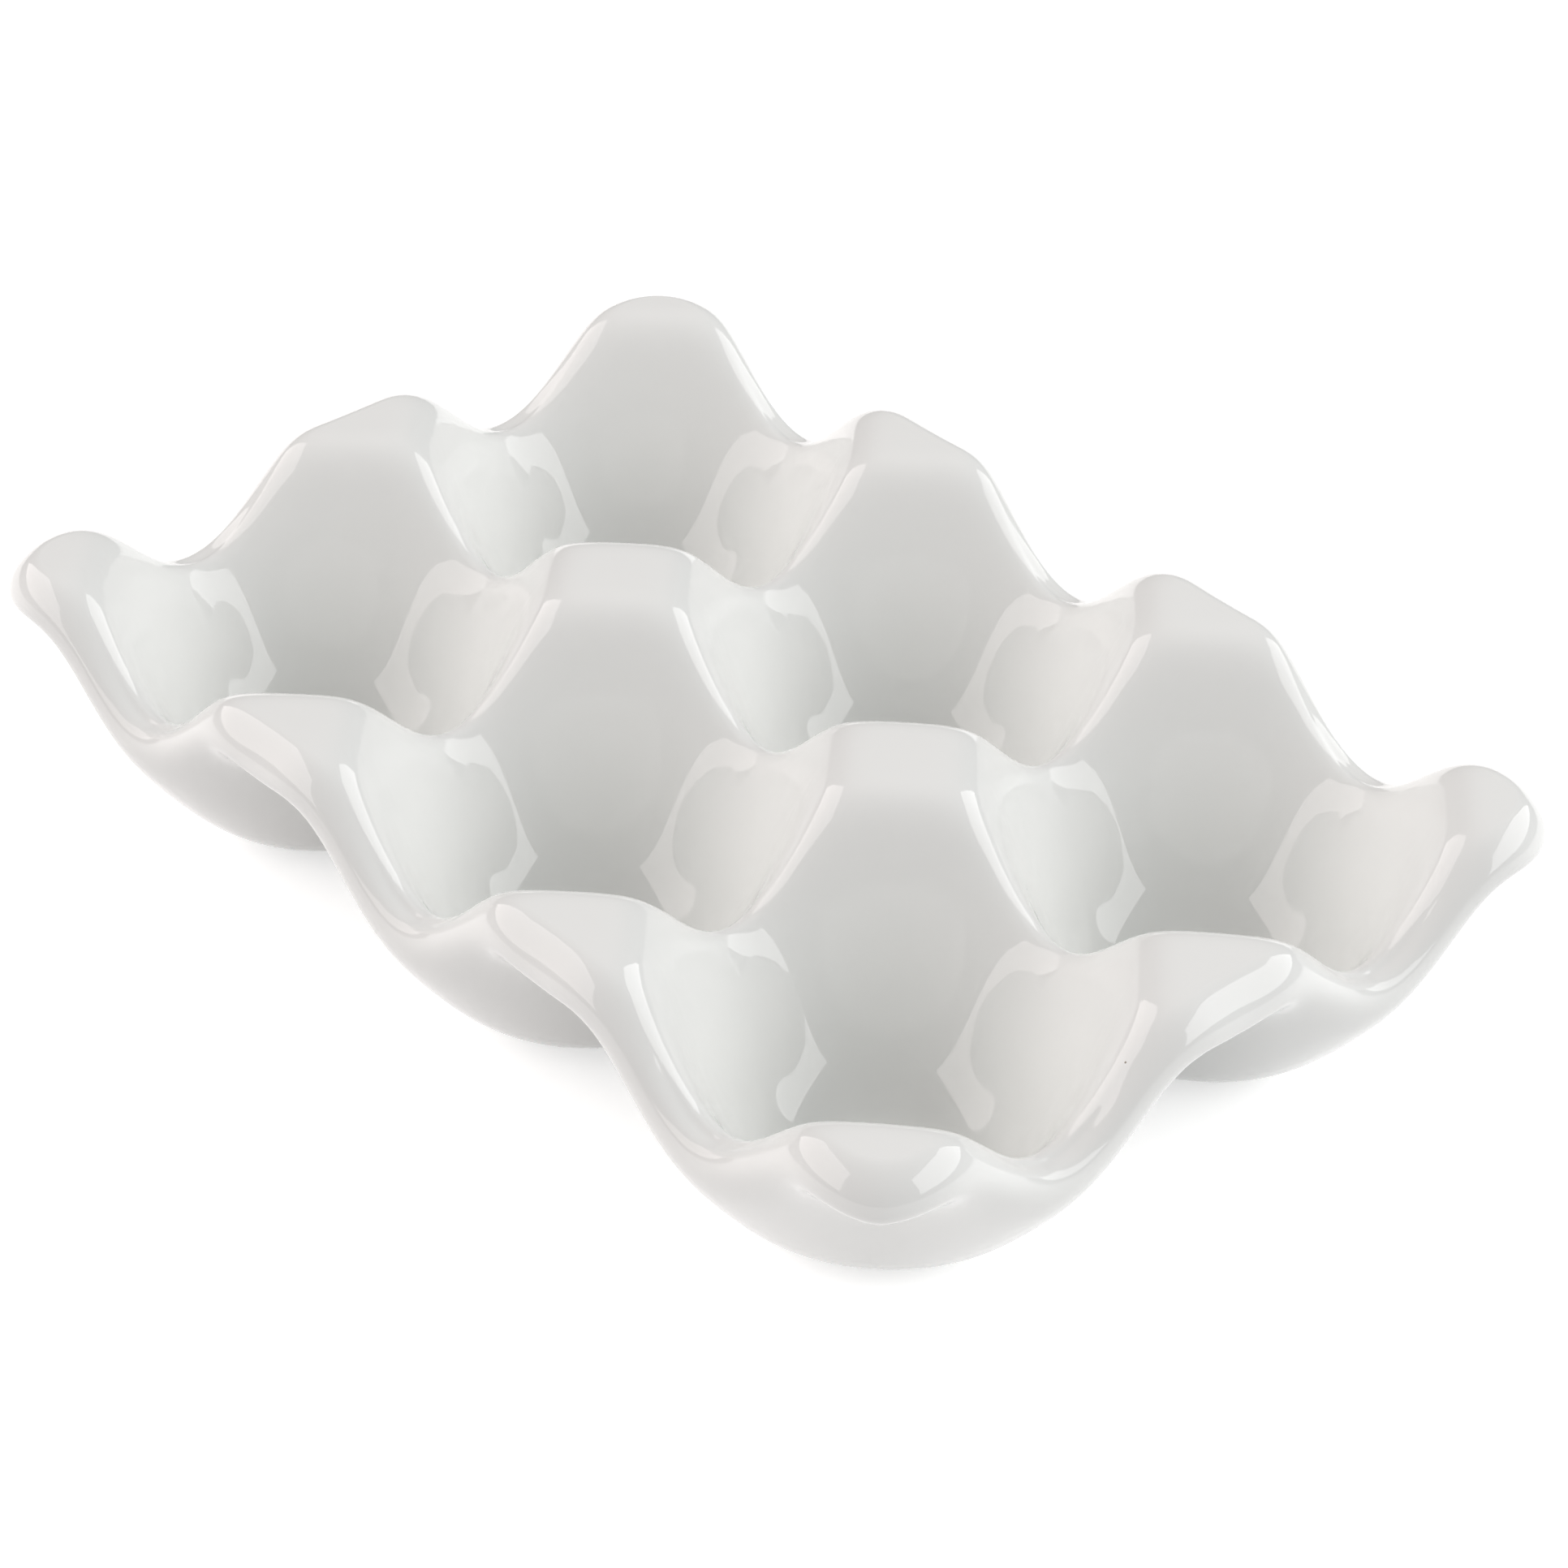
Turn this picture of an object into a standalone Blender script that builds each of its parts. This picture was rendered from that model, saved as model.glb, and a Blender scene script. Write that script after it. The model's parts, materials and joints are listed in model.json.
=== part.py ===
# Ceramic egg holder tray: one undulating sheet of fired clay with a round cup for each egg, flat-topped peaks
# between the cups, a rounded lip and a bare foot under each cup, covered by one coat of white glaze.
# Metres, +Z up, long side along X. The origin is on the table, under the middle of the tray.

import math

import bmesh
import bpy
from mathutils import Matrix, Vector
from mathutils.geometry import interpolate_bezier

# Driving dimensions of the finished, glazed tray. The upper surface runs past the outer crest by the edge reach,
# and the lip by the rim reach. The corner radius is that of the upper surface's edge, seen from above.
COLUMNS = 3
ROWS = 2
CUP_PITCH = 0.070
CROWN_HEIGHT = 0.0501
END_SAG = 0.0020
RIM_SAG = 0.0011
WALL = 0.0065
RIM_WALL = 0.0082
EDGE_REACH = 0.0022
RIM_REACH = 0.0069
LIP_POWER = 0.75
CORNER_RADIUS = 0.0088
CREST_SOFTNESS = 0.0037
BOWL_POWER = 2.66
PEAK_POWER = 5.26

# The bare feet, and how far they stand out of the glaze
FOOT_RADIUS = 0.010
FOOT_HEIGHT = 0.0006

# The glaze, and the gap kept between the two solids
GLAZE = 0.0004
FACE_GAP = 0.0003

# Mesh density
CELLS_PER_CUP = 12
CREST_GATHER = 1.1
LIP_SEGMENTS = 4
FOOT_SEGMENTS = 32
BALL_RINGS = 6
BALL_SPOKES = 16
SLOPE_STEP = 0.0005

# Sizes that follow from them
HALF_PITCH = CUP_PITCH / 2
CREST_X = COLUMNS * HALF_PITCH
CREST_Y = ROWS * HALF_PITCH
CORNER_X = CREST_X + EDGE_REACH - CORNER_RADIUS
CORNER_Y = CREST_Y + EDGE_REACH - CORNER_RADIUS
CUP_FLOOR = FOOT_HEIGHT + WALL
CELLS_X = COLUMNS * CELLS_PER_CUP + 2
CELLS_Y = ROWS * CELLS_PER_CUP + 2
BODY_DEPTH = GLAZE + FACE_GAP

# A cubic curve's middle is an eighth of each end and three eighths of each handle. With handles of this length
# the lip stands out as far as the rim reach where the sheet is level.
LIP_HANDLE = (8 * RIM_REACH - EDGE_REACH) / 6


def clear_scene():
    for item in list(bpy.data.objects):
        bpy.data.objects.remove(item, do_unlink=True)


def new_collection(name):
    made = bpy.data.collections.new(name)
    bpy.context.scene.collection.children.link(made)
    return made


def new_material(name, colour, roughness):
    made = bpy.data.materials.new(name)
    made.use_nodes = True
    shader = made.node_tree.nodes["Principled BSDF"]
    shader.inputs["Base Color"].default_value = (*colour, 1.0)
    shader.inputs["Roughness"].default_value = roughness
    shader.inputs["Metallic"].default_value = 0.0
    made.diffuse_color = (*colour, 1.0)
    return made


# The crests run along the grid of lines midway between cups. This is 1 on such a line and 0 at a cup's middle,
# and it falls away from the line at an even rate, softened at the line itself.
def crest_wave(place, count):
    from_edge = place / CUP_PITCH + count / 2
    distance = abs(from_edge - round(from_edge)) * CUP_PITCH
    fall = math.hypot(distance, CREST_SOFTNESS) - CREST_SOFTNESS
    full_fall = math.hypot(HALF_PITCH, CREST_SOFTNESS) - CREST_SOFTNESS
    return 1 - math.sin(math.pi / 2 * fall / full_fall)


# Smoothly from 0 at the middles of the outer cups to 1 on the outer crest
def rim_share(place, crest):
    share = min(1.0, max(0.0, abs(place) - (crest - HALF_PITCH)) / HALF_PITCH)
    return share**2 * (3 - 2 * share)


# The peaks stand lower towards the two ends, and again along the rim, most of all at the corners
def peak_height(x, y):
    end_sag = END_SAG * (x / CREST_X) ** 2
    rim_sag = RIM_SAG * (rim_share(x, CREST_X) + rim_share(y, CREST_Y))
    return CROWN_HEIGHT - end_sag - rim_sag


# The two waves' mean is 0 at a cup's middle, 1/2 at a saddle and 1 at a peak. The bowl power flattens the
# cup's floor, and the peak power flattens the peak's top.
def upper_height(x, y):
    level = (crest_wave(x, COLUMNS) + crest_wave(y, ROWS)) / 2
    rise = 1 - (1 - level**BOWL_POWER) ** PEAK_POWER
    return CUP_FLOOR + (peak_height(x, y) - CUP_FLOOR) * rise


# The wall grows thicker from the middles of the outer cups to the rim
def wall_thickness(x, y):
    return WALL + (RIM_WALL - WALL) * max(rim_share(x, CREST_X), rim_share(y, CREST_Y))


# How fast a surface rises on the way out to a place
def rise_outward(height, place, out):
    inside = place - out * SLOPE_STEP
    return (height(*place) - height(*inside)) / SLOPE_STEP


# How far the wall's inner face lies inside a place on the outer crest, and its outer face outside it: half the
# rim's wall times the sine of the wall's lean
def rim_lean(crest, out):
    slope = max(0.0, rise_outward(upper_height, crest - out * RIM_WALL / 2, out))
    return RIM_WALL / 2 * slope / math.hypot(1, slope)


# The underside is as low as a ball of the wall's thickness reaches when its middle follows the upper surface out
# to the inner face of the rim's wall, so the wall is as thick on a steep flank as on a level stretch
def underside_height(x, y):
    limit_x = CREST_X - rim_lean(Vector((CREST_X, y)), Vector((1, 0)))
    limit_y = CREST_Y - rim_lean(Vector((x, CREST_Y)), Vector((0, 1)))
    trials = [(x, y)]
    for ring in range(1, BALL_RINGS + 1):
        reach = RIM_WALL * ring / BALL_RINGS
        for spoke in range(BALL_SPOKES):
            angle = math.tau * spoke / BALL_SPOKES
            trials.append((x + reach * math.cos(angle), y + reach * math.sin(angle)))
    lowest = math.inf
    for trial_x, trial_y in trials:
        middle_x = max(-limit_x, min(limit_x, trial_x))
        middle_y = max(-limit_y, min(limit_y, trial_y))
        depth_squared = wall_thickness(middle_x, middle_y) ** 2 - (middle_x - x) ** 2 - (middle_y - y) ** 2
        if depth_squared >= 0:
            lowest = min(lowest, upper_height(middle_x, middle_y) - math.sqrt(depth_squared))
    return lowest


# Grid lines lie on the crests and gather towards them. The first and last line lie on the sheet's edge.
def line_place(index, count):
    if index == 0:
        return -count * HALF_PITCH - EDGE_REACH
    if index == count * CELLS_PER_CUP + 2:
        return count * HALF_PITCH + EDGE_REACH
    from_edge = (index - 1) / CELLS_PER_CUP
    nearest = round(from_edge)
    offset = from_edge - nearest
    gathered = math.copysign(abs(2 * offset) ** CREST_GATHER / 2, offset)
    return (nearest + gathered - count / 2) * CUP_PITCH


# A point of the rectangular grid, with the four corner squares of the plan pressed into quarter discs
def plan_point(column, row):
    x = line_place(column, COLUMNS)
    y = line_place(row, ROWS)
    over_x = max(0.0, abs(x) - CORNER_X) / CORNER_RADIUS
    over_y = max(0.0, abs(y) - CORNER_Y) / CORNER_RADIUS
    if over_x and over_y:
        x = math.copysign(CORNER_X + CORNER_RADIUS * over_x * math.sqrt(1 - over_y**2 / 2), x)
        y = math.copysign(CORNER_Y + CORNER_RADIUS * over_y * math.sqrt(1 - over_x**2 / 2), y)
    return Vector((x, y))


# In the band along the sheet's edge, the way straight out from the band's inner side. It is as long as the
# corner radius at the edge itself.
def way_out(place):
    way_x = math.copysign(max(0.0, abs(place.x) - CORNER_X), place.x)
    way_y = math.copysign(max(0.0, abs(place.y) - CORNER_Y), place.y)
    return Vector((way_x, way_y))


# The underside's points lie under the upper ones. In the band along the edge they move so that the lip's lower
# edge lies under the crest where the sheet is level, and further out where the cup's wall leans outward.
def underside_plan_point(column, row):
    place = plan_point(column, row)
    way = way_out(place)
    out = way.normalized()
    crest = place + out * (CORNER_RADIUS - EDGE_REACH - way.length)
    shift = rim_lean(crest, out) - EDGE_REACH
    return place + way * shift / CORNER_RADIUS


def upper_point(column, row):
    place = plan_point(column, row)
    return Vector((*place, upper_height(*place)))


def underside_point(column, row):
    place = underside_plan_point(column, row)
    return Vector((*place, underside_height(*place)))


# The lip is a cubic curve from the sheet's edge to the underside, which leaves both along their own slopes. Its
# handles are longest where the two surfaces run side by side.
def lip_point(column, row, share):
    edge = upper_point(column, row)
    lower = underside_point(column, row)
    out = way_out(edge.xy).normalized()
    leave_edge = Vector((*out, rise_outward(upper_height, edge.xy, out))).normalized()
    leave_lower = Vector((*out, rise_outward(underside_height, lower.xy, out))).normalized()
    fullness = ((1 + leave_edge.dot(leave_lower)) / 2) ** LIP_POWER
    edge_handle = edge + leave_edge * fullness * (LIP_HANDLE - EDGE_REACH)
    lower_handle = lower + leave_lower * fullness * LIP_HANDLE
    curve = interpolate_bezier(edge, edge_handle, lower_handle, lower, LIP_SEGMENTS + 1)
    return curve[round((1 - share) * LIP_SEGMENTS)]


# A slab of grid cells, one unit thick and cut into strips round its side, whose points then move into place: its
# top to the upper surface, its bottom to the underside and the strips between them to the lip
def finished_form():
    form = bmesh.new()
    bmesh.ops.create_grid(form, x_segments=CELLS_X, y_segments=CELLS_Y, size=1.0)
    grown = bmesh.ops.extrude_face_region(form, geom=list(form.faces))
    upper = [item for item in grown["geom"] if isinstance(item, bmesh.types.BMVert)]
    bmesh.ops.translate(form, verts=upper, vec=(0.0, 0.0, 1.0))
    upright = [edge for edge in form.edges if edge.verts[0].co.z != edge.verts[1].co.z]
    bmesh.ops.subdivide_edges(form, edges=upright, cuts=LIP_SEGMENTS - 1)
    for vert in form.verts:
        column = round((vert.co.x + 1) / 2 * CELLS_X)
        row = round((vert.co.y + 1) / 2 * CELLS_Y)
        share = round(vert.co.z * LIP_SEGMENTS) / LIP_SEGMENTS
        if share == 1:
            vert.co = upper_point(column, row)
        elif share == 0:
            vert.co = underside_point(column, row)
        else:
            vert.co = lip_point(column, row, share)
    bmesh.ops.recalc_face_normals(form, faces=list(form.faces))
    bmesh.ops.triangulate(form, faces=list(form.faces))
    made = bpy.data.meshes.new("finished_form")
    form.to_mesh(made)
    form.free()
    made.shade_smooth()
    return made


def cup_middles():
    for row in range(ROWS):
        for column in range(COLUMNS):
            yield (column - (COLUMNS - 1) / 2) * CUP_PITCH, (row - (ROWS - 1) / 2) * CUP_PITCH


# One upright disc under each cup's middle, as a cutter or as a piece to join on
def foot_discs(name, radius, bottom, top, collection):
    discs = bmesh.new()
    half_step = Matrix.Rotation(math.pi / FOOT_SEGMENTS, 4, "Z")
    for x, y in cup_middles():
        bmesh.ops.create_cone(
            discs,
            cap_ends=True,
            segments=FOOT_SEGMENTS,
            radius1=radius,
            radius2=radius,
            depth=top - bottom,
            matrix=Matrix.Translation((x, y, (top + bottom) / 2)) @ half_step,
        )
    made = bpy.data.meshes.new(name)
    discs.to_mesh(made)
    discs.free()
    helper = bpy.data.objects.new(name, made)
    helper.hide_render = True
    helper.display_type = "WIRE"
    collection.objects.link(helper)
    return helper


def add_boolean(piece, name, operation, other):
    boolean = piece.modifiers.new(name, "BOOLEAN")
    boolean.operation = operation
    boolean.solver = "EXACT"
    boolean.object = other


def new_piece(name, mesh, material, collection, parent):
    piece = bpy.data.objects.new(name, mesh)
    mesh.materials.append(material)
    collection.objects.link(piece)
    piece.parent = parent
    return piece


# The clay lies one glaze and one gap inside the finished surface, and stands on its six bare feet
def add_tray_body(form_mesh, collection, cutters, parent):
    clay = new_material("bisque_clay", (0.80, 0.77, 0.71), 0.85)
    body = new_piece("tray_body", form_mesh.copy(), clay, collection, parent)
    inset = body.modifiers.new("inset", "DISPLACE")
    inset.direction = "NORMAL"
    inset.mid_level = 0.0
    inset.strength = -BODY_DEPTH
    feet = foot_discs("feet", FOOT_RADIUS, 0.0, FOOT_HEIGHT + WALL / 2, cutters)
    add_boolean(body, "join_feet", "UNION", feet)


# The glaze is a thin skin inward from the finished surface, open round each foot
def add_glaze_coat(form_mesh, collection, cutters, parent):
    white = new_material("white_glaze", (0.86, 0.86, 0.84), 0.06)
    coat = new_piece("glaze_coat", form_mesh.copy(), white, collection, parent)
    skin = coat.modifiers.new("skin", "SOLIDIFY")
    skin.thickness = GLAZE
    skin.offset = -1.0
    openings = foot_discs("foot_openings", FOOT_RADIUS + FACE_GAP, -WALL, FOOT_HEIGHT + WALL / 2, cutters)
    add_boolean(coat, "open_feet", "DIFFERENCE", openings)


def build():
    clear_scene()
    tray = new_collection("ceramic_egg_tray")
    cutters = new_collection("cutters")
    cutters.hide_render = True
    frame = bpy.data.objects.new("egg_tray", None)
    tray.objects.link(frame)
    form_mesh = finished_form()
    add_tray_body(form_mesh, tray, cutters, frame)
    add_glaze_coat(form_mesh, tray, cutters, frame)
    bpy.data.meshes.remove(form_mesh)


build()
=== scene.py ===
import json
import math

import bpy
import numpy as np
from mathutils import Matrix, Vector

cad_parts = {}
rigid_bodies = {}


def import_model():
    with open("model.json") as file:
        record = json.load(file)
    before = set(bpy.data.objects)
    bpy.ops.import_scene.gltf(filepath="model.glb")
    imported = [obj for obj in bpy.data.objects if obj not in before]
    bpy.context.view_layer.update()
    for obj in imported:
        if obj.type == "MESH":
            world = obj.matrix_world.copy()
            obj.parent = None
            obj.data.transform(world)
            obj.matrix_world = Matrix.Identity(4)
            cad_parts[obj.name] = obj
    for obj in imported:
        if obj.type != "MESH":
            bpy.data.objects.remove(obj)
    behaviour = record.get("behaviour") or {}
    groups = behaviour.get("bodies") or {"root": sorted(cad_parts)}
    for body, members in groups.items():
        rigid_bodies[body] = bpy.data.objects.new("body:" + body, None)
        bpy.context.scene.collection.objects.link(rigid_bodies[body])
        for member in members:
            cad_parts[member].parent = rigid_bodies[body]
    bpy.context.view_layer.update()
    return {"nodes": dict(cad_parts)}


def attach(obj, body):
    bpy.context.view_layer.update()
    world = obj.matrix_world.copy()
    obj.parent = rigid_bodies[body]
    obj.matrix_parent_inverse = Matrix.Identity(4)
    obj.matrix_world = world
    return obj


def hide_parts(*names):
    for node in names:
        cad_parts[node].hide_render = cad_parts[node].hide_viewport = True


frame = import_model()
print("frame loaded:", ", ".join(sorted(frame["nodes"])))

# The sheet, in metres
sheet = {
    "cups": np.array([3, 2]),  # along X and along Y
    "pitch": 0.070,
    "crownHeight": 0.0501,
    "endSag": 0.0020,
    "rimSag": 0.0004,
    "wall": 0.0065,
    "rimWall": 0.0104,
    "rimPower": 3,  # how close to the rim the wall stays thick
    "edgeReach": 0.0010,  # how far the top runs past the outer crest before the lip starts
    "rimReach": 0.0075,  # how far past the outer crest the middle of the lip stands
    "lipPower": 0.8,  # how soon the lip draws in where the top and the underside run apart
    "lipSkew": 0.5,  # how much lower than its middle the lip stands out furthest
    "evenLip": 0.5,  # the share of the lip, from the top, over which its evening comes in
    "evenBand": 0.018,  # how far in from the edge the evening reaches on the underside
    "evenPasses": 36,
    "cornerRadius": 0.0078,
    "crestSoftness": 0.0037,
    "bowlPower": 2.66,
    "peakPower": 5.26,
    "footHeight": 0.0006,
    "cells": 48,  # grid squares across a cup
    "crestGather": 1.15,  # how much the grid lines gather at the crests
    "edgeLines": 3,  # grid lines past the outer crest
    "holeCells": 9,  # from a cup's middle to the edge of the hole under it
    "lipSteps": 14,
}
sheet["crest"] = sheet["cups"] * sheet["pitch"] / 2
sheet["corner"] = sheet["crest"] + sheet["edgeReach"] - sheet["cornerRadius"]
sheet["floor"] = sheet["footHeight"] + sheet["wall"]
# The bare clay feet, and the gap to the glaze round each
foot = {"radius": 0.010, "gap": 0.0003, "edge": 0.0004}
# The search for the underside: trial rings as shares of the rim's wall, places in each, slides at the end
search = {"rings": np.linspace(0.16, 0.96, 6), "places": 16, "slides": 16}


# Smoothly from 0 to 1, level at both ends
def smoothStep(share):
    return share**2 * (3 - 2 * share)


# For X and for Y: 1 on the lines midway between cups, 0 at a cup's middle, by one minus the sine of the
# distance to the nearest line, softened at the line
def crestWaves(place):
    pitch = sheet["pitch"]
    soft = sheet["crestSoftness"]
    fromEdge = place / pitch + sheet["cups"] / 2
    distance = np.abs(fromEdge - np.round(fromEdge)) * pitch
    fall = np.hypot(distance, soft) - soft
    fullFall = math.hypot(pitch / 2, soft) - soft
    return 1 - np.sin(math.pi / 2 * fall / fullFall)


# 0 at a cup's middle, 1/2 at a saddle, 1 at a peak: the mean of the two waves
def ridgeLevel(place):
    return crestWaves(place).mean(axis=-1)


# For X and for Y: smoothly from 0 at the outer cups' middles to 1 on the outer crest
def rimShares(place):
    half = sheet["pitch"] / 2
    return smoothStep(np.clip((np.abs(place) - sheet["crest"] + half) / half, 0, 1))


# The glazed top: the level raised to the bowl power and flattened at the peaks by the peak power. The
# peaks' height is the crown's, less a sag with the square of the way to the ends and a smooth step down
# along the rim.
def topHeight(place):
    rimSag = sheet["rimSag"] * rimShares(place).sum(axis=-1)
    endSag = sheet["endSag"] * (place[..., 0] / sheet["crest"][0]) ** 2
    peak = sheet["crownHeight"] - endSag - rimSag
    rise = 1 - (1 - ridgeLevel(place) ** sheet["bowlPower"]) ** sheet["peakPower"]
    return sheet["floor"] + (peak - sheet["floor"]) * rise


def wallThickness(place):
    nearRim = rimShares(place).max(axis=-1) ** sheet["rimPower"]
    return sheet["wall"] + (sheet["rimWall"] - sheet["wall"]) * nearRim


# The slope along X and along Y of a field over the plan
def slopeOf(field, place):
    step = 2e-5
    alongX = field(place + [step, 0]) - field(place - [step, 0])
    alongY = field(place + [0, step]) - field(place - [0, step])
    return np.stack([alongX, alongY], axis=-1) / (2 * step)


# How far the middle of the rim's wall lies outside the wall's inner face, for a place on the outer crest:
# half the wall's thickness times the sine of the wall's lean there
def rimLean(crest, out):
    half = sheet["rimWall"] / 2
    slope = np.maximum(0, (slopeOf(topHeight, crest - out * half) * out).sum(axis=-1, keepdims=True))
    return half * slope / np.hypot(1, slope)


# The underside: as low as a ball of the wall's thickness reaches while its middle follows the top, as far
# out as the wall's inner face at the rim. Rings of trial places find the ball that reaches lowest, and then
# its middle slides along the top until the ball touches the underside square below it.
def undersideHeight(place):
    endCrest = np.stack([np.full_like(place[..., 0], sheet["crest"][0]), place[..., 1]], axis=-1)
    sideCrest = np.stack([place[..., 0], np.full_like(place[..., 1], sheet["crest"][1])], axis=-1)
    lean = [rimLean(endCrest, np.array([1, 0])), rimLean(sideCrest, np.array([0, 1]))]
    limit = sheet["crest"] - np.concatenate(lean, axis=-1)

    def reachOf(middle):
        squared = wallThickness(middle) ** 2 - ((middle - place) ** 2).sum(axis=-1)
        depth = np.sqrt(np.maximum(squared, 0))
        return np.where(squared > 0, topHeight(middle) - depth, np.inf), depth[..., None]

    best = np.clip(place, -limit, limit)
    lowest, _ = reachOf(best)
    for ring in search["rings"]:
        for angle in np.linspace(0, math.tau, search["places"], endpoint=False):
            way = np.array([math.cos(angle), math.sin(angle)])
            trial = np.clip(place + sheet["rimWall"] * ring * way, -limit, limit)
            reached, _ = reachOf(trial)
            better = reached < lowest
            lowest = np.where(better, reached, lowest)
            best = np.where(better[..., None], trial, best)
    for _ in range(search["slides"]):
        _, depth = reachOf(best)
        thicker = wallThickness(best)[..., None] * slopeOf(wallThickness, best)
        best = np.clip((best + place + thicker - depth * slopeOf(topHeight, best)) / 2, -limit, limit)
    return np.minimum(lowest, reachOf(best)[0])


# The middles of a row of cups
def cupPlaces(count):
    return (np.arange(count) - (count - 1) / 2) * sheet["pitch"]


# The grid lines across a row of cups: steps that gather a little at the crests, and a few lines past them
def linePlaces(count):
    pitch = sheet["pitch"]
    cells = sheet["cells"]
    step = np.arange(count * cells + 1) / cells
    nearest = np.round(step)
    offset = step - nearest
    gathered = np.sign(offset) * np.abs(2 * offset) ** sheet["crestGather"] / 2
    inner = (nearest + gathered - count / 2) * pitch
    past = count * pitch / 2 + sheet["edgeReach"] * np.arange(1, sheet["edgeLines"] + 1) / sheet["edgeLines"]
    return np.concatenate([-past[::-1], inner, past])


# In each cup the grid's squares are pressed round its foot: the square out to holeHalf about the middle
# becomes a disc of the given radius, and those outside it pass evenly from that disc to the crest lines
def pressRound(place, holeHalf, radius):
    pitch = sheet["pitch"]
    last = sheet["cups"] - 1
    middle = (np.clip(np.round(place / pitch + last / 2), 0, last) - last / 2) * pitch
    across = place - middle
    square = np.abs(across).max(axis=-1, keepdims=True)
    straight = across / np.maximum(square, 1e-9)
    curved = straight * np.sqrt(1 - straight[..., ::-1] ** 2 / 2)
    share = np.clip((square - holeHalf) / (pitch / 2 - holeHalf), 0, 1)
    reach = radius * np.minimum(square / holeHalf, 1)
    pressed = middle + (1 - share) * reach * curved + share * straight * pitch / 2
    return np.where(square < pitch / 2, pressed, place)


# The four corner squares of the plan pressed into quarter discs
def pressCorners(place):
    radius = sheet["cornerRadius"]
    over = np.maximum(0, np.abs(place) - sheet["corner"]) / radius
    pressed = sheet["corner"] + radius * over * np.sqrt(1 - over[..., ::-1] ** 2 / 2)
    return np.where(over > 0, np.sign(place) * pressed, place)


# In the band along the sheet's edge: the way straight out, and how far it is from the band's inner side
def rimBand(place):
    over = np.sign(place) * np.maximum(0, np.abs(place) - sheet["corner"])
    length = np.linalg.norm(over, axis=-1, keepdims=True)
    return over / np.maximum(length, 1e-9), length


# The underside's points lie under the top's. In the band along the edge they move so that the lip's lower
# edge lies under the crest where the sheet is level, and further out where the cup's wall leans outward.
def underPlace(place):
    out, length = rimBand(place)
    crest = place + out * (sheet["cornerRadius"] - sheet["edgeReach"] - length)
    shift = rimLean(crest, out) - sheet["edgeReach"]
    return place + out * shift * length / sheet["cornerRadius"]


# The way out along a surface, as a unit vector
def wayOut(height, place, out):
    step = 5e-4
    rise = (height(place) - height(place - out * step)) / step
    way = np.concatenate([out, rise[..., None]], axis=-1)
    return way / np.linalg.norm(way, axis=-1, keepdims=True)


# The lip: cubic curves from the top's edge to the underside's, which leave both along their own slopes. The
# handles are longest where the two surfaces run side by side, and there the lip's middle stands out as far
# as the rim's reach. The skew shortens the upper handle and lengthens the lower one.
def lipRows(top, under):
    out = rimBand(top[:, :2])[0]
    leaveTop = wayOut(topHeight, top[:, :2], out)
    leaveUnder = wayOut(undersideHeight, under[:, :2], out)
    full = ((1 + (leaveTop * leaveUnder).sum(axis=-1, keepdims=True)) / 2) ** sheet["lipPower"]
    handle = (8 * sheet["rimReach"] - sheet["edgeReach"]) / 6
    topHandle = top + leaveTop * full * (handle * (1 - sheet["lipSkew"]) - sheet["edgeReach"])
    underHandle = under + leaveUnder * full * handle * (1 + sheet["lipSkew"])
    share = np.linspace(0, 1, sheet["lipSteps"] + 1)[1:-1, None, None]
    rest = 1 - share
    ends = rest**3 * top + share**3 * under
    return ends + 3 * rest**2 * share * topHandle + 3 * rest * share**2 * underHandle


# The grid's outermost points, once round from above against the clock
def rimLoop(table):
    return np.concatenate([table[:-1, 0], table[-1, :-1], table[:0:-1, -1], table[0, :0:-1]])


# Quads of a table of points, facing up
def tableQuads(table):
    return np.stack([table[:-1, :-1], table[1:, :-1], table[1:, 1:], table[:-1, 1:]], axis=-1)


# Quads between rings of points, listed from the top down, that each run against the clock seen from above
def ringQuads(rings):
    beside = np.roll(rings, -1, axis=1)
    return np.stack([rings[:-1], rings[1:], beside[1:], beside[:-1]], axis=-1).reshape(-1, 4)


# Points evened out: each pass takes every point towards the mean of its neighbours, by half its weight
def evenOut(points, quads, weight):
    beside = np.roll(quads, -1, axis=1)
    here = np.concatenate([quads, beside]).ravel()
    there = np.concatenate([beside, quads]).ravel()
    count = np.maximum(1, np.bincount(here, minlength=len(points)))
    for _ in range(sheet["evenPasses"]):
        total = [np.bincount(here, points[there, axis], len(points)) for axis in range(3)]
        points = points + weight[:, None] / 2 * (np.stack(total / count, axis=-1) - points)
    return points


# How far points take part in the evening: not on the top, from none to all down the upper share of the lip,
# and on the underside from all at its edge to none at the evening's band
def evenWeights(under, loopSize):
    inside = (sheet["crest"] - np.abs(under[:, :2])).min(axis=-1)
    onUnder = np.clip(1 - inside / sheet["evenBand"], 0, 1)
    onLip = np.clip(np.arange(1, sheet["lipSteps"]) / (sheet["lipSteps"] * sheet["evenLip"]), 0, 1)
    return smoothStep(np.concatenate([np.zeros(len(under)), onUnder, np.repeat(onLip, loopSize)]))


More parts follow.
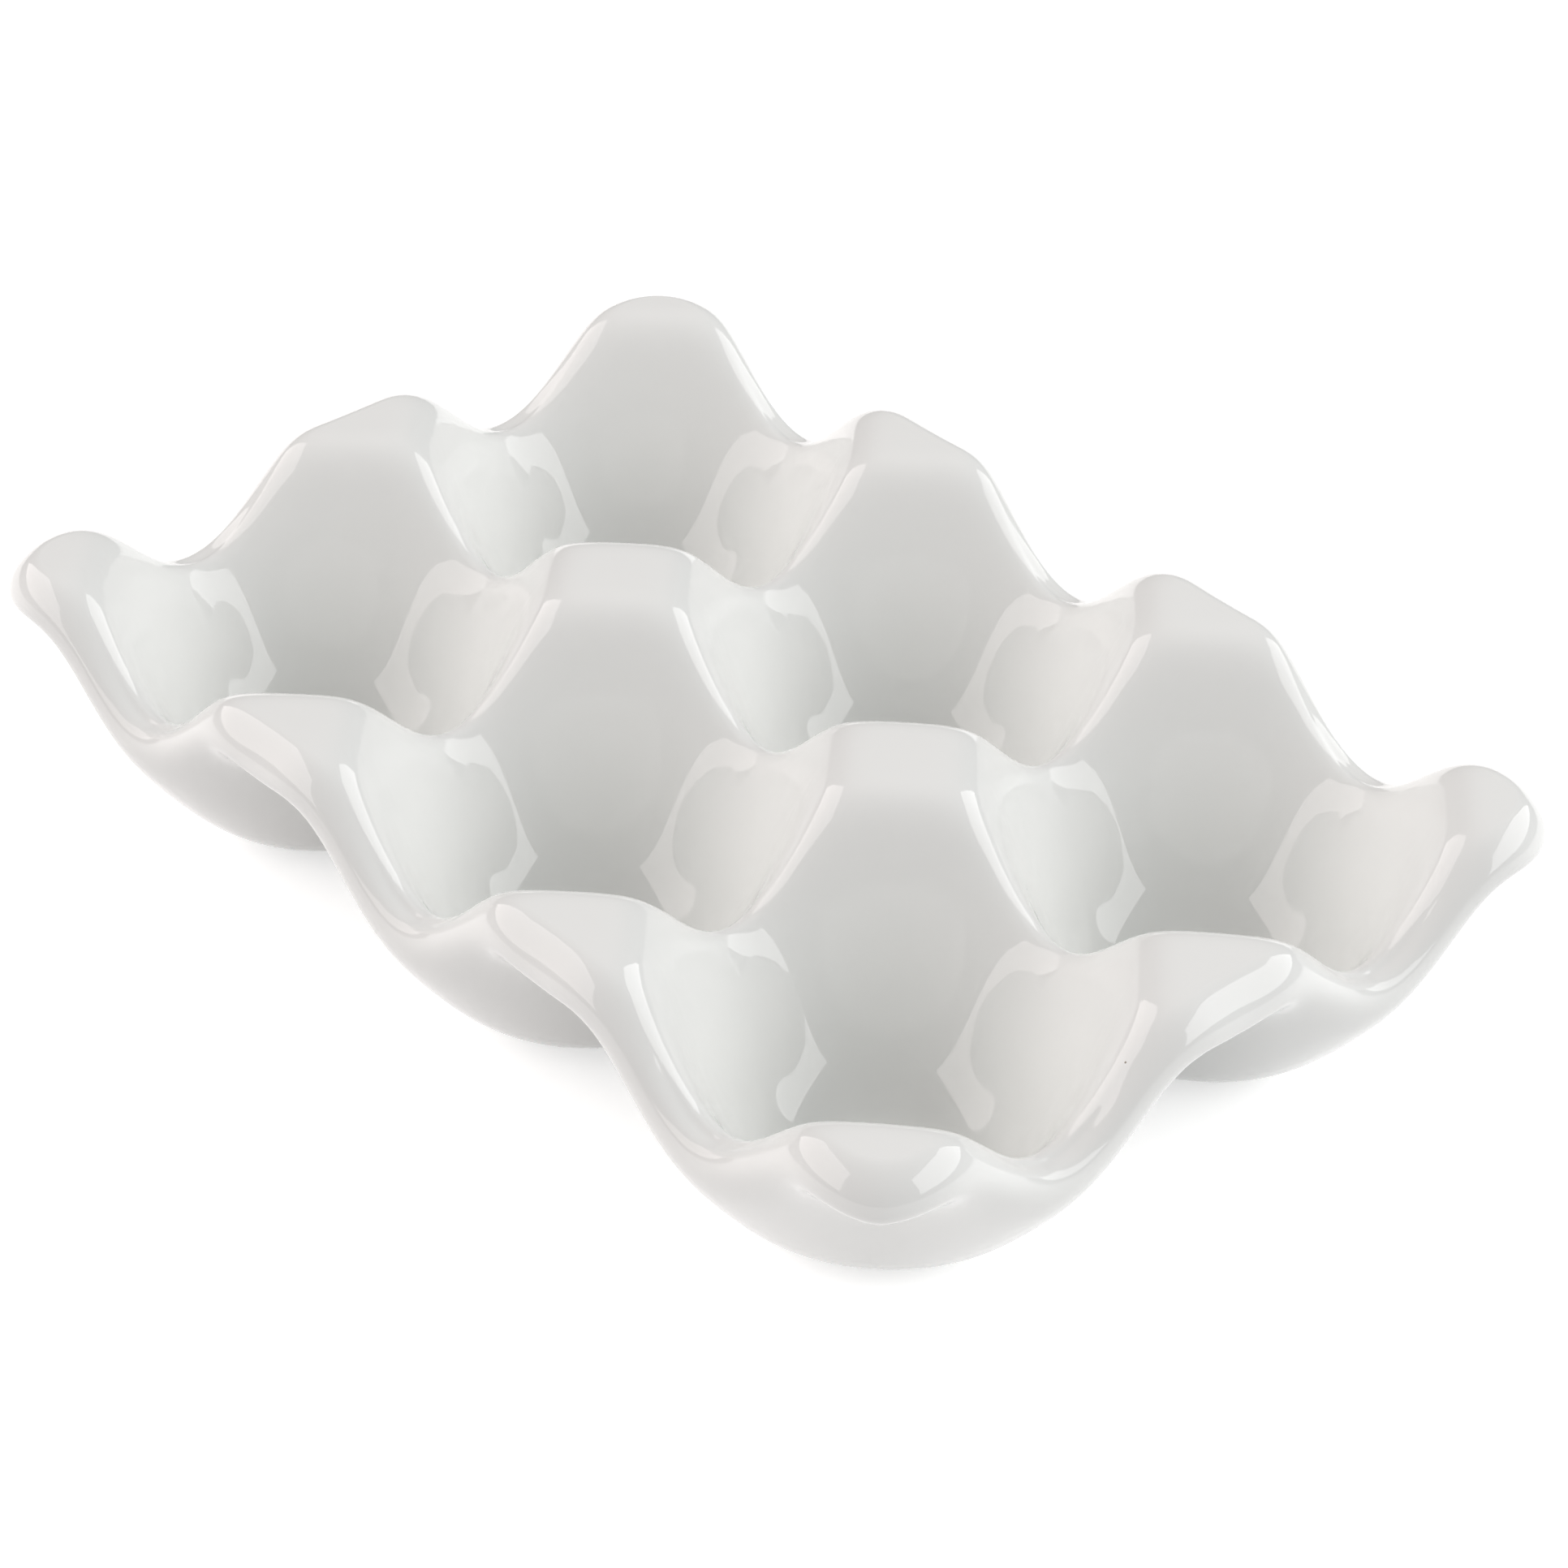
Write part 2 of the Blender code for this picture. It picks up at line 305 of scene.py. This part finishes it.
# The whole skin of the sheet: one grid for the top, one for the underside, with a round hole about each
# cup's middle, and the lip between them. Returns the points, the quads and, for each hole, the table of the
# points in it.
def sheetSkin(holeRadius):
    lines = [linePlaces(count) for count in sheet["cups"]]
    grid = np.stack(np.meshgrid(*lines, indexing="ij"), axis=-1)
    holeHalf = float(np.sort(np.abs(linePlaces(1)))[2 * sheet["holeCells"]])
    place = pressCorners(pressRound(grid, holeHalf, holeRadius))
    lower = underPlace(place)
    top = np.concatenate([place, topHeight(place)[..., None]], axis=-1)
    under = np.concatenate([lower, undersideHeight(lower)[..., None]], axis=-1)

    number = np.arange(place[..., 0].size).reshape(place.shape[:2])
    loop = rimLoop(number)
    top = top.reshape(-1, 3)
    under = under.reshape(-1, 3)
    lip = lipRows(top[loop], under[loop])
    points = np.concatenate([top, under, lip.reshape(-1, 3)])

    quadsTop = tableQuads(number)
    quadsUnder = quadsTop[..., ::-1] + number.size
    cellMiddle = (grid[:-1, :-1] + grid[1:, 1:]) / 2
    fromCup = np.abs((cellMiddle / sheet["pitch"] + sheet["cups"] / 2) % 1 - 0.5) * sheet["pitch"]
    covered = fromCup.max(axis=-1) > holeHalf
    lipNumber = 2 * number.size + np.arange(lip.shape[0] * loop.size).reshape(-1, loop.size)
    rings = np.concatenate([loop[None], lipNumber, loop[None] + number.size])
    quads = np.concatenate([quadsTop.reshape(-1, 4), quadsUnder[covered], ringQuads(rings)])
    points = evenOut(points, quads, evenWeights(under, loop.size))

    fromMiddle = [np.abs(line[:, None] - cupPlaces(count)) for line, count in zip(lines, sheet["cups"])]
    across = [distance <= holeHalf + 1e-9 for distance in fromMiddle]
    holes = [number[np.ix_(inX, inY)] + number.size for inX in across[0].T for inY in across[1].T]
    return points, quads, holes


# A smooth mesh object at the origin, without points that no face uses, with the level as an attribute
def newPiece(name, points, quads, material):
    used, quads = np.unique(quads, return_inverse=True)
    points = points[used]
    quads = quads.reshape(-1, 4)
    mesh = bpy.data.meshes.new(name)
    mesh.vertices.add(len(points))
    mesh.vertices.foreach_set("co", points.astype(np.float32).ravel())
    mesh.loops.add(quads.size)
    mesh.loops.foreach_set("vertex_index", quads.astype(np.int32).ravel())
    mesh.polygons.add(len(quads))
    mesh.polygons.foreach_set("loop_start", np.arange(0, quads.size, 4, dtype=np.int32))
    mesh.update(calc_edges=True)
    level = ridgeLevel(points[:, :2]).astype(np.float32)
    mesh.attributes.new("level", "FLOAT", "POINT").data.foreach_set("value", level)
    mesh.shade_smooth()
    mesh.materials.append(material)
    piece = bpy.data.objects.new(name, mesh)
    bpy.context.scene.collection.objects.link(piece)
    return piece


def newMaterial(name):
    material = bpy.data.materials.new(name)
    material.use_nodes = True
    nodes = material.node_tree.nodes
    links = material.node_tree.links
    return material, nodes, links, nodes["Principled BSDF"]


# A texture raised from a finish's surface
def addRelief(nodes, links, shader, texture, strength, depth):
    bump = nodes.new("ShaderNodeBump")
    bump.inputs["Strength"].default_value = strength
    bump.inputs["Distance"].default_value = depth
    links.new(texture.outputs["Fac"], bump.inputs["Height"])
    links.new(bump.outputs["Normal"], shader.inputs["Normal"])


# White gloss glaze, with painted shade down in the cups
glaze = {
    "thickness": 0.0004,
    "crestColour": (0.826, 0.836, 0.824, 1),
    # painted shade: the glaze colour is darker and greener down in the cups, towards their middles, where
    # shade falls
    "cupShadeColour": (0.792, 0.808, 0.785, 1),
    "cupShadeLevel": 0.5,  # the ridge level at which the painted cup shade has given way to the crest colour
    "roughness": 0.025,
    "refraction": 1.5,
    "waveScale": 70,
    "waveDetail": 1,
    "waveStrength": 0.12,
    "waveDepth": 0.0004,
    "speckColour": (0.30, 0.26, 0.21, 1),  # a few pinholes in the glaze
    "speckScale": 45,
    "speckSize": 0.010,
}


def glazeMaterial():
    material, nodes, links, shader = newMaterial("whiteGlaze")
    place = nodes.new("ShaderNodeTexCoord")
    level = nodes.new("ShaderNodeAttribute")
    level.attribute_name = "level"
    # painted shade in the cups: a ramp from the darker cup colour at the cups' middles to the crest colour
    # at the given ridge level
    cupShade = nodes.new("ShaderNodeValToRGB")
    cupShade.color_ramp.elements[0].color = glaze["cupShadeColour"]
    cupShade.color_ramp.elements[1].color = glaze["crestColour"]
    cupShade.color_ramp.elements[1].position = glaze["cupShadeLevel"]
    links.new(level.outputs["Fac"], cupShade.inputs["Fac"])
    scatter = nodes.new("ShaderNodeTexVoronoi")
    scatter.inputs["Scale"].default_value = glaze["speckScale"]
    links.new(place.outputs["Object"], scatter.inputs["Vector"])
    speck = nodes.new("ShaderNodeMath")
    speck.operation = "LESS_THAN"
    speck.inputs[1].default_value = glaze["speckSize"]
    links.new(scatter.outputs["Distance"], speck.inputs[0])
    speckled = nodes.new("ShaderNodeMixRGB")
    speckled.inputs["Color2"].default_value = glaze["speckColour"]
    links.new(speck.outputs["Value"], speckled.inputs["Fac"])
    links.new(cupShade.outputs["Color"], speckled.inputs["Color1"])
    links.new(speckled.outputs["Color"], shader.inputs["Base Color"])
    wave = nodes.new("ShaderNodeTexNoise")
    wave.inputs["Scale"].default_value = glaze["waveScale"]
    wave.inputs["Detail"].default_value = glaze["waveDetail"]
    links.new(place.outputs["Object"], wave.inputs["Vector"])
    addRelief(nodes, links, shader, wave, glaze["waveStrength"], glaze["waveDepth"])
    shader.inputs["Roughness"].default_value = glaze["roughness"]
    shader.inputs["IOR"].default_value = glaze["refraction"]
    return material


def addGlaze():
    points, quads, _ = sheetSkin(foot["radius"] + foot["gap"])
    coat = newPiece("glazeCoat", points, quads, glazeMaterial())
    skin = coat.modifiers.new("skin", "SOLIDIFY")
    skin.thickness = glaze["thickness"]
    skin.offset = -1
    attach(coat, "root")
    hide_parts("glaze_coat")
    print("glaze coat:", len(quads), "quads")


addGlaze()

# Bare fired clay, seen only at the feet
clay = {
    "inset": 0.0007,  # the glaze and the bond line over it
    "colour": (0.72, 0.67, 0.58, 1),
    "grainColour": (0.62, 0.56, 0.47, 1),
    "grainScale": 1800,
    "grainDetail": 4,
    "grainSpan": (0.35, 0.60),  # from the grain's colour to the clay's
    "grainStrength": 0.5,
    "grainDepth": 0.0001,
    "roughness": 0.85,
    "footEdgeSteps": 6,
}


def clayMaterial():
    material, nodes, links, shader = newMaterial("bisqueClay")
    place = nodes.new("ShaderNodeTexCoord")
    grain = nodes.new("ShaderNodeTexNoise")
    grain.inputs["Scale"].default_value = clay["grainScale"]
    grain.inputs["Detail"].default_value = clay["grainDetail"]
    links.new(place.outputs["Object"], grain.inputs["Vector"])
    tone = nodes.new("ShaderNodeValToRGB")
    dark, light = tone.color_ramp.elements
    dark.position, light.position = clay["grainSpan"]
    dark.color = clay["grainColour"]
    light.color = clay["colour"]
    links.new(grain.outputs["Fac"], tone.inputs["Fac"])
    links.new(tone.outputs["Color"], shader.inputs["Base Color"])
    addRelief(nodes, links, shader, grain, clay["grainStrength"], clay["grainDepth"])
    shader.inputs["Roughness"].default_value = clay["roughness"]
    return material


# Every point moved inward along the mean of its quads' normals
def insetPoints(points, quads, depth):
    corner = points[quads]
    facing = np.cross(corner[:, 2] - corner[:, 0], corner[:, 3] - corner[:, 1])
    normal = np.zeros_like(points)
    np.add.at(normal, quads, facing[:, None])
    return points - depth * normal / np.maximum(np.linalg.norm(normal, axis=-1, keepdims=True), 1e-12)


# A foot closes one hole: a wall straight down, a quarter round and a flat disc on the table
def footSkin(points, hole):
    edge = foot["edge"]
    place = points[hole][..., :2]
    middle = place.mean(axis=(0, 1))
    turn = np.linspace(0, math.pi / 2, clay["footEdgeSteps"] + 1)[:, None, None]
    loop = rimLoop(place) - middle
    scale = 1 - edge / foot["radius"] * (1 - np.cos(turn[:-1]))
    wall = middle + loop * scale
    wallHeight = np.broadcast_to(edge * (1 - np.sin(turn[:-1])), wall[..., :1].shape)
    disc = middle + (place - middle) * (1 - edge / foot["radius"])
    wallPoints = np.concatenate([wall, wallHeight], axis=-1).reshape(-1, 3)
    discPoints = np.concatenate([disc, np.zeros_like(disc[..., :1])], axis=-1).reshape(-1, 3)
    first = len(points)
    wallNumber = first + np.arange(len(wallPoints)).reshape(-1, loop.shape[0])
    discNumber = first + len(wallPoints) + np.arange(len(discPoints)).reshape(hole.shape)
    rings = np.concatenate([rimLoop(hole)[None], wallNumber, rimLoop(discNumber)[None]])
    quads = np.concatenate([ringQuads(rings), tableQuads(discNumber)[..., ::-1].reshape(-1, 4)])
    return np.concatenate([points, wallPoints, discPoints]), quads


def addClay():
    skin, quads, holes = sheetSkin(foot["radius"])
    points = insetPoints(skin, quads, clay["inset"])
    for hole in holes:
        points[hole, :2] = skin[hole, :2]
        points, footQuads = footSkin(points, hole)
        quads = np.concatenate([quads, footQuads])
    body = newPiece("clayBody", points, quads, clayMaterial())
    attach(body, "root")
    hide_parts("tray_body")
    print("clay body:", len(quads), "quads")


addClay()

# White studio: a pale floor, a dim room and two large soft boxes at the sides of the camera
studio = {
    "floorColour": (0.86, 0.86, 0.86, 1),
    "floorRoughness": 0.9,
    "floorSize": 30.0,
    "floorGlow": 0.55,  # only for what looks at the floor, so that it shows white
    "roomLight": 0.25,
    "boxDistance": 1.6,
}
leftBox = {
    "turn": math.radians(-91.9),  # from the camera's own direction
    "halfSpread": math.radians(48),
    "bottom": math.radians(16),
    "top": math.radians(60),
    "radiance": 2.18,
    "colour": (1.0, 0.937, 0.921),
}
rightBox = {
    "turn": math.radians(90.6),
    "halfSpread": math.radians(45),
    "bottom": math.radians(16.6),
    "top": math.radians(52),
    "radiance": 2.83,
    "colour": (1.0, 0.995, 0.992),
}
view = {
    "azimuth": math.radians(47.441),
    "elevation": math.radians(36.717),
    "roll": math.radians(1.802),
    "distance": 0.8117,
    "aimRight": 0.005235,
    "aimUp": 0.020546,
    "lift": 0.00013,
    "focal": 5926.9,  # in pixels of the image's width
    "imageWidth": 1932,
    "sensorWidth": 36,
}


def addFloor():
    size = studio["floorSize"]
    mesh = bpy.data.meshes.new("floor")
    corners = [(-size, -size, 0), (size, -size, 0), (size, size, 0), (-size, size, 0)]
    mesh.from_pydata(corners, [], [(0, 1, 2, 3)])
    material, nodes, links, shader = newMaterial("paleFloor")
    shader.inputs["Base Color"].default_value = studio["floorColour"]
    shader.inputs["Roughness"].default_value = studio["floorRoughness"]
    shader.inputs["Specular IOR Level"].default_value = 0
    path = nodes.new("ShaderNodeLightPath")
    seen = nodes.new("ShaderNodeMath")
    seen.operation = "MAXIMUM"
    links.new(path.outputs["Is Camera Ray"], seen.inputs[0])
    links.new(path.outputs["Is Glossy Ray"], seen.inputs[1])
    seenThrough = nodes.new("ShaderNodeMath")
    seenThrough.operation = "MAXIMUM"
    links.new(seen.outputs["Value"], seenThrough.inputs[0])
    links.new(path.outputs["Is Transmission Ray"], seenThrough.inputs[1])
    glow = nodes.new("ShaderNodeMath")
    glow.operation = "MULTIPLY"
    glow.inputs[1].default_value = studio["floorGlow"]
    links.new(seenThrough.outputs["Value"], glow.inputs[0])
    shader.inputs["Emission Color"].default_value = (1, 1, 1, 1)
    links.new(glow.outputs["Value"], shader.inputs["Emission Strength"])
    mesh.materials.append(material)
    floor = bpy.data.objects.new("floor", mesh)
    bpy.context.scene.collection.objects.link(floor)


# A soft box stands upright and square to the tray, and fills the given angles as seen from it
def addSoftBox(name, softBox):
    distance = studio["boxDistance"]
    width = 2 * distance * math.tan(softBox["halfSpread"])
    low = distance * math.tan(softBox["bottom"])
    high = distance * math.tan(softBox["top"])
    angle = view["azimuth"] + softBox["turn"]
    lamp = bpy.data.lights.new(name, "AREA")
    lamp.shape = "RECTANGLE"
    lamp.size = width
    lamp.size_y = high - low
    lamp.energy = softBox["radiance"] * math.pi * width * (high - low)
    lamp.color = softBox["colour"]
    box = bpy.data.objects.new(name, lamp)
    box.location = (distance * math.sin(angle), -distance * math.cos(angle), (low + high) / 2)
    box.rotation_euler = Vector((-math.sin(angle), math.cos(angle), 0)).to_track_quat("-Z", "Y").to_euler()
    bpy.context.scene.collection.objects.link(box)


def addRoom():
    world = bpy.data.worlds.new("whiteRoom")
    world.use_nodes = True
    background = world.node_tree.nodes["Background"]
    background.inputs["Color"].default_value = (1, 1, 1, 1)
    background.inputs["Strength"].default_value = studio["roomLight"]
    bpy.context.scene.world = world


# The camera's axes: right and up turned by the roll about the line to the aim point
def addCamera():
    turn, tilt, roll = view["azimuth"], view["elevation"], view["roll"]
    back = Vector((math.sin(turn) * math.cos(tilt), -math.cos(turn) * math.cos(tilt), math.sin(tilt)))
    across = Vector((math.cos(turn), math.sin(turn), 0))
    above = back.cross(across)
    lift = Vector((0, 0, view["lift"]))
    eye = back * view["distance"] + lift
    aim = across * view["aimRight"] + above * view["aimUp"] + lift
    forward = (aim - eye).normalized()
    right = forward.cross(Vector((0, 0, 1))).normalized()
    up = right.cross(forward)
    rolledRight = right * math.cos(roll) + up * math.sin(roll)
    rolledUp = up * math.cos(roll) - right * math.sin(roll)
    lens = bpy.data.cameras.new("camera")
    lens.sensor_width = view["sensorWidth"]
    lens.lens = view["focal"] / view["imageWidth"] * view["sensorWidth"]
    camera = bpy.data.objects.new("camera", lens)
    axes = Matrix((rolledRight, rolledUp, -forward)).transposed().to_4x4()
    camera.matrix_world = Matrix.Translation(eye) @ axes
    bpy.context.scene.collection.objects.link(camera)
    bpy.context.scene.camera = camera


addFloor()
addSoftBox("leftSoftBox", leftBox)
addSoftBox("rightSoftBox", rightBox)
addRoom()
addCamera()
bpy.context.scene.view_settings.view_transform = "Standard"
print("studio and camera placed")
